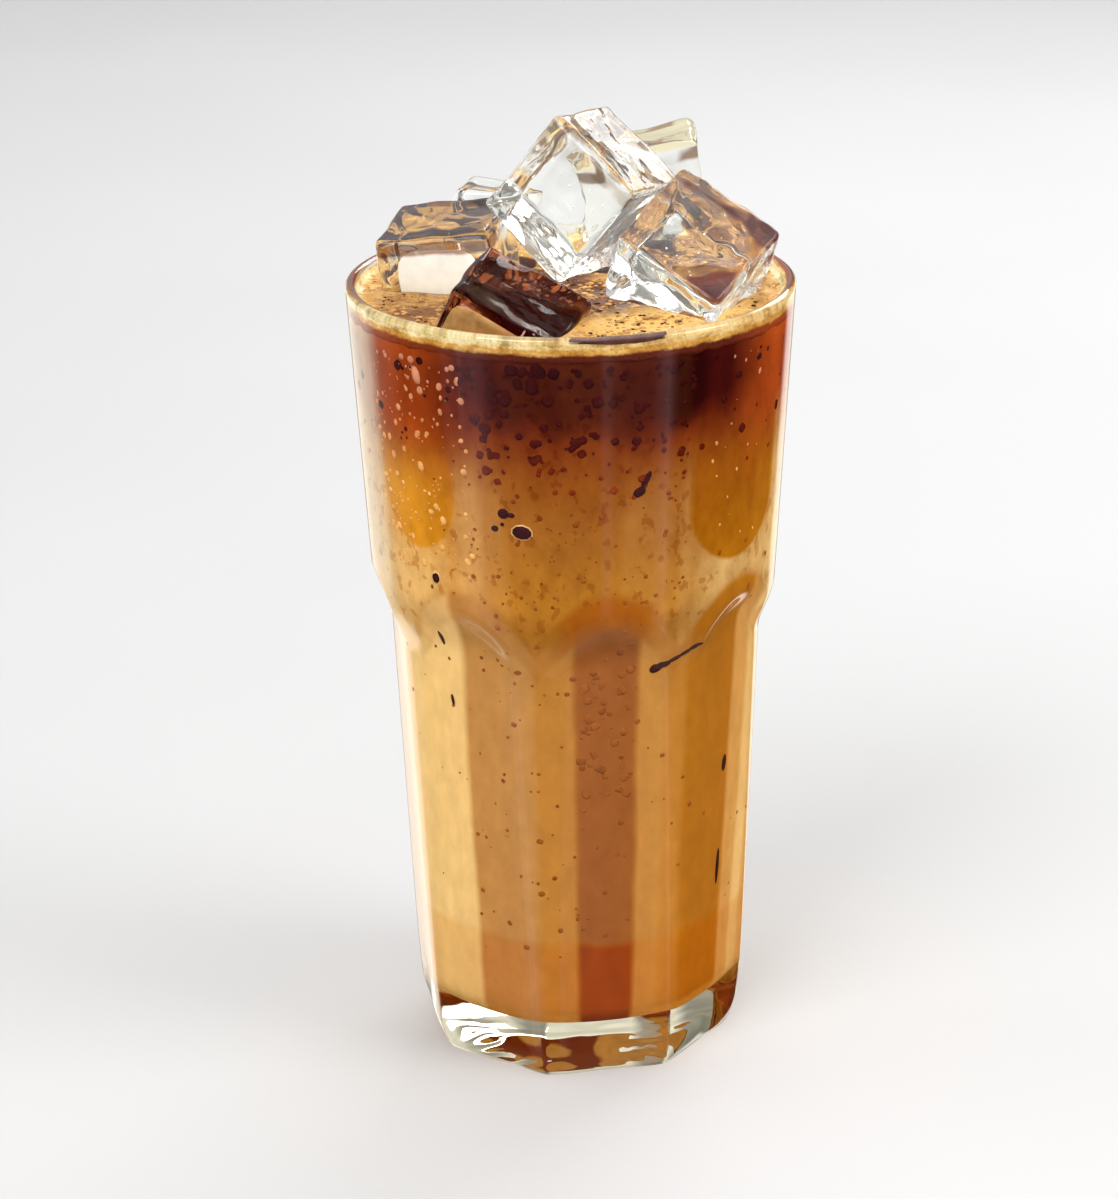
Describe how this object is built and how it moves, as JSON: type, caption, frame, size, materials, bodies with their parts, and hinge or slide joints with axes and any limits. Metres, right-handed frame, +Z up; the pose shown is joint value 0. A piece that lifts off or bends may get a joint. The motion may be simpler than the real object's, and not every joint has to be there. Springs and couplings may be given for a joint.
{
  "type": "iced milk coffee in a panelled glass",
  "caption": "Tall glass tumbler with a smooth upper cone and flat arched panels below, filled with layered milk coffee, black coffee and foam, topped with a heap of ice.",
  "frame": {"origin": "centre of the underside of the glass, on its axis", "axes": "+Z up along the axis of the glass; -Y is the side that faces the viewer in the picture"},
  "size_m": [0.0878, 0.0878, 0.1914],
  "materials": {
    "glass": "clear, pressed and fire polished",
    "milk_coffee": "opaque caramel brown liquid",
    "black_coffee": "dark red-brown liquid",
    "foam": "fine golden froth",
    "ice": "clear, wet and slightly melted"
  },
  "bodies": {
    "root": {"glass": "glass", "milk_coffee": "milk_coffee", "black_coffee": "black_coffee", "foam": "foam", "ice_top": "ice", "ice_right": "ice", "ice_left": "ice", "ice_front": "ice", "ice_back_right": "ice", "ice_back_left": "ice", "ice_back_low": "ice"}
  },
  "joints": []
}
